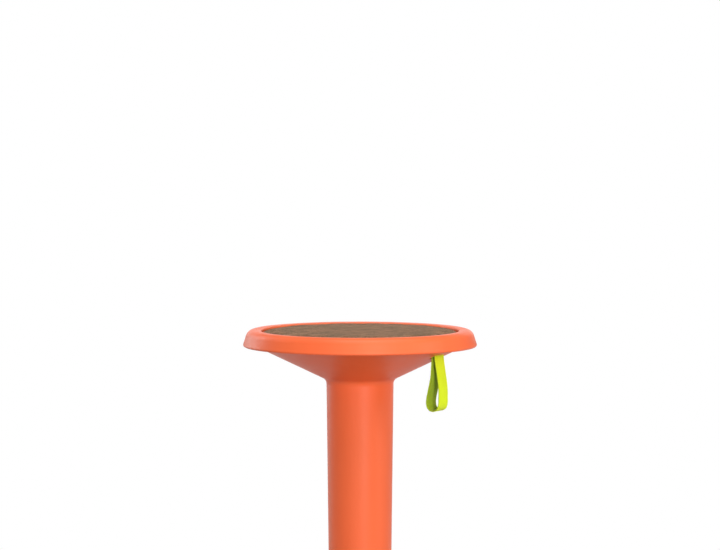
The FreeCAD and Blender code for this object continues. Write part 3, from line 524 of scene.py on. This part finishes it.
def rounded_loop(corners):
    """Points round a closed line whose corners are rounded."""
    tips = [Vector((x, z)) * MILLIMETRE for x, z, bend in corners]
    points = []
    for index, (x, z, bend) in enumerate(corners):
        tip = tips[index]
        if bend == 0:
            points.append(tip)
            continue
        back = (tips[index - 1] - tip).normalized()
        ahead = (tips[(index + 1) % len(tips)] - tip).normalized()
        half = back.angle(ahead) / 2
        bend *= MILLIMETRE
        centre = tip + (back + ahead).normalized() * (bend / math.sin(half))
        start = tip + back * (bend / math.tan(half)) - centre
        turn = -(math.pi - 2 * half) * (1 if back.cross(ahead) > 0 else -1)
        pieces = max(2, math.ceil(abs(turn) * bend / STRAP_STEP))
        for step in range(pieces + 1):
            angle = turn * step / pieces
            points.append(centre + Vector((start.x * math.cos(angle) - start.y * math.sin(angle),
                                           start.x * math.sin(angle) + start.y * math.cos(angle))))
    return points


def evenly(points, step):
    """Points at even spacing round a closed line, and its length."""
    lengths = [(points[(index + 1) % len(points)] - point).length for index, point in enumerate(points)]
    total = sum(lengths)
    count = round(total / step)
    spaced, index, passed = [], 0, 0.0
    for number in range(count):
        target = total * number / count
        while passed + lengths[index] < target:
            passed += lengths[index]
            index += 1
        share = (target - passed) / lengths[index] if lengths[index] else 0.0
        spaced.append(points[index].lerp(points[(index + 1) % len(points)], share))
    return spaced, total


def relaxed(points):
    """Ease the joins between bends, but leave the turn over the pin alone."""
    for _ in range(STRAP_SMOOTHING):
        eased = []
        for index, point in enumerate(points):
            middle = (points[index - 1] + points[(index + 1) % len(points)]) / 2
            eased.append(point.lerp(middle, 0.5) if point.y < -HOOK_DEPTH else point)
        points = eased
    return points


def strap_section():
    """Outline across the band: (across, out of its middle plane)."""
    half, rise = STRAP_WIDTH / 2, STRAP_THICKNESS / 2
    side = []
    for step in range(ACROSS_STEPS + 1):
        across = -math.cos(math.pi * step / ACROSS_STEPS) * (half - rise * SELVEDGE_TURN)
        edge = max(0.0, 1 - (half - abs(across)) / SELVEDGE)
        side.append((across, rise - SELVEDGE_RISE * (1 - math.sin(math.pi * min(1.0, edge * 1.1)))))
    ends = [(half, rise * SELVEDGE_CORNER), (half, -rise * SELVEDGE_CORNER)]
    return side + ends + [(x, -y) for x, y in reversed(side)] + [(-x, -y) for x, y in ends]


def strap_ring(shape, path, index, section, lowest):
    """The band's outline at one point of its path, a little twisted, hollowed and rippled."""
    point = path[index]
    along = (path[(index + 1) % len(path)] - path[index - 1]).normalized()
    out = Vector((-along.y, along.x))
    depth = min(1.0, max(0.0, point.y / lowest))
    angle = STRAP_TWIST * math.sin(math.pi * depth) * (-1 if point.x > 0 else 1)
    bow = STRAP_BOW * math.sin(math.pi * depth)
    edge_wave = EDGE_RIPPLE * math.sin(index * 0.9 + 2.0 * math.sin(index * 0.13))
    ring = []
    for across, proud in section:
        hollow = bow * (1 - (2 * across / STRAP_WIDTH) ** 2)
        ripple = edge_wave * abs(2 * across / STRAP_WIDTH) ** 3
        flat = point + out * (proud + hollow + ripple)
        sideways = across * math.cos(angle)
        outward = flat.x + across * math.sin(angle)
        ring.append(shape.verts.new(STRAP_PIVOT + STRAP_OUT * outward + STRAP_ACROSS * sideways
                                    + Vector((0.0, 0.0, flat.y))))
    return ring


def skin_strap(shape, rings, section, length):
    """Faces between the rings, unwrapped in metres along and round the band."""
    uv = shape.loops.layers.uv.new("weave")
    reach = [0.0]
    for (x, y), (next_x, next_y) in zip(section, section[1:] + section[:1]):
        reach.append(reach[-1] + math.hypot(next_x - x, next_y - y))
    for index, ring in enumerate(rings):
        next_ring = rings[(index + 1) % len(rings)]
        near, far = length * index / len(rings), length * (index + 1) / len(rings)
        for side, (start, end) in enumerate(zip(reach, reach[1:])):
            following = (side + 1) % len(ring)
            face = shape.faces.new((ring[side], ring[following], next_ring[following], next_ring[side]))
            spots = ((near, start), (near, end), (far, end), (far, start))
            for loop, spot in zip(face.loops, spots):
                loop[uv].uv = spot


def add_strap(material):
    path, length = evenly(rounded_loop(STRAP_CORNERS), STRAP_STEP)
    path = relaxed(path)
    section = strap_section()
    lowest = min(point.y for point in path)
    shape = bmesh.new()
    rings = [strap_ring(shape, path, index, section, lowest) for index in range(len(path))]
    skin_strap(shape, rings, section, length)
    strap = finish_mesh("webbing_loop", shape, material)
    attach(strap, "strap")
    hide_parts("pull_strap")


# Floor, lights and surroundings

FLOOR_RADIUS = 30.0
FLOOR_SEGMENTS = 96
FLOOR_NEAR = 0.5            # radius where the floor starts to turn white
FLOOR_FAR = 1.9             # and where it is white
FLOOR_BOUNCE = 0.26         # share of light that the floor throws back up on the stool


def add_floor():
    """Big pale disc whose colour runs out to the white of the surroundings."""
    mesh = bpy.data.meshes.new("floor")
    shape = bmesh.new()
    bmesh.ops.create_circle(shape, cap_ends=True, radius=FLOOR_RADIUS, segments=FLOOR_SEGMENTS)
    shape.to_mesh(mesh)
    shape.free()
    floor = bpy.data.objects.new("floor", mesh)
    bpy.context.scene.collection.objects.link(floor)
    material = new_material("floor_paper")
    bsdf = shader(material)
    vector = place(material)
    grain = noise(material, vector, 60.0, 3.0)
    wire(material, ramp(material, grain, (0.3, (0.70, 0.70, 0.70)), (0.7, (0.74, 0.74, 0.74))),
         bsdf.inputs["Base Color"])
    bsdf.inputs["Roughness"].default_value = 0.9
    length = add(material, "ShaderNodeVectorMath", operation="LENGTH")
    wire(material, vector, length.inputs[0])
    distant = spread(material, length.outputs["Value"], 0.0, 1.0, FLOOR_NEAR, FLOOR_FAR)
    white = add(material, "ShaderNodeEmission")
    seen = add(material, "ShaderNodeMixShader")
    wire(material, distant, seen.inputs["Fac"])
    wire(material, bsdf.outputs["BSDF"], seen.inputs[1])
    wire(material, white.outputs["Emission"], seen.inputs[2])
    bounce = add(material, "ShaderNodeBsdfDiffuse")
    bounce.inputs["Color"].default_value = (FLOOR_BOUNCE, FLOOR_BOUNCE, FLOOR_BOUNCE, 1.0)
    rays = add(material, "ShaderNodeLightPath")
    mixed = add(material, "ShaderNodeMixShader")
    wire(material, rays.outputs["Is Diffuse Ray"], mixed.inputs["Fac"])
    wire(material, seen.outputs["Shader"], mixed.inputs[1])
    wire(material, bounce.outputs["BSDF"], mixed.inputs[2])
    wire(material, mixed.outputs["Shader"], material.node_tree.nodes["Material Output"].inputs["Surface"])
    mesh.materials.append(material)


def add_panel(name, place_at, aim_at, size, watts):
    """Soft rectangular light turned to face a point."""
    data = bpy.data.lights.new(name, "AREA")
    data.shape = "RECTANGLE"
    data.size, data.size_y = size
    data.energy = watts
    light = bpy.data.objects.new(name, data)
    light.location = place_at
    light.rotation_euler = (Vector(aim_at) - Vector(place_at)).to_track_quat("-Z", "Y").to_euler()
    light.visible_camera = False
    bpy.context.scene.collection.objects.link(light)


WORLD_LIGHT = 0.28          # share of the white surroundings that lights the stool


def add_lights():
    """White surroundings, a tall key panel in front, softer panels above, at the sides and behind."""
    middle = (0.0, 0.0, 0.45)
    add_panel("key", (0.85, -3.0, 1.05), middle, (0.7, 1.5), 59.0)
    add_panel("top", (0.2, -0.8, 3.0), middle, (2.0, 2.0), 42.0)
    add_panel("left", (-2.3, 2.0, 1.4), middle, (1.0, 2.2), 36.0)
    add_panel("right", (3.0, -1.0, 1.2), middle, (1.0, 2.2), 25.0)
    add_panel("front", (-1.2, -3.0, 1.0), middle, (1.0, 2.0), 11.0)
    add_panel("back", (0.0, 2.8, 1.25), (0.0, 0.0, 0.6), (3.0, 1.2), 15.0)
    world = bpy.data.worlds.new("surroundings")
    bpy.context.scene.world = world
    world.use_nodes = True
    nodes, links = world.node_tree.nodes, world.node_tree.links
    background = nodes["Background"]
    seen = nodes.new("ShaderNodeLightPath")
    strength = nodes.new("ShaderNodeMapRange")
    strength.inputs["To Min"].default_value = WORLD_LIGHT
    strength.inputs["To Max"].default_value = 1.0
    links.new(seen.outputs["Is Camera Ray"], strength.inputs["Value"])
    links.new(strength.outputs["Result"], background.inputs["Strength"])
    background.inputs["Color"].default_value = (1.0, 1.0, 1.0, 1.0)
    bpy.context.scene.view_settings.view_transform = "Standard"


add_camera()
materials = make_materials()
dress_frame(materials)
add_pad(materials["pad_fabric"])
add_strap(materials["lime_strap"])
add_floor()
add_lights()
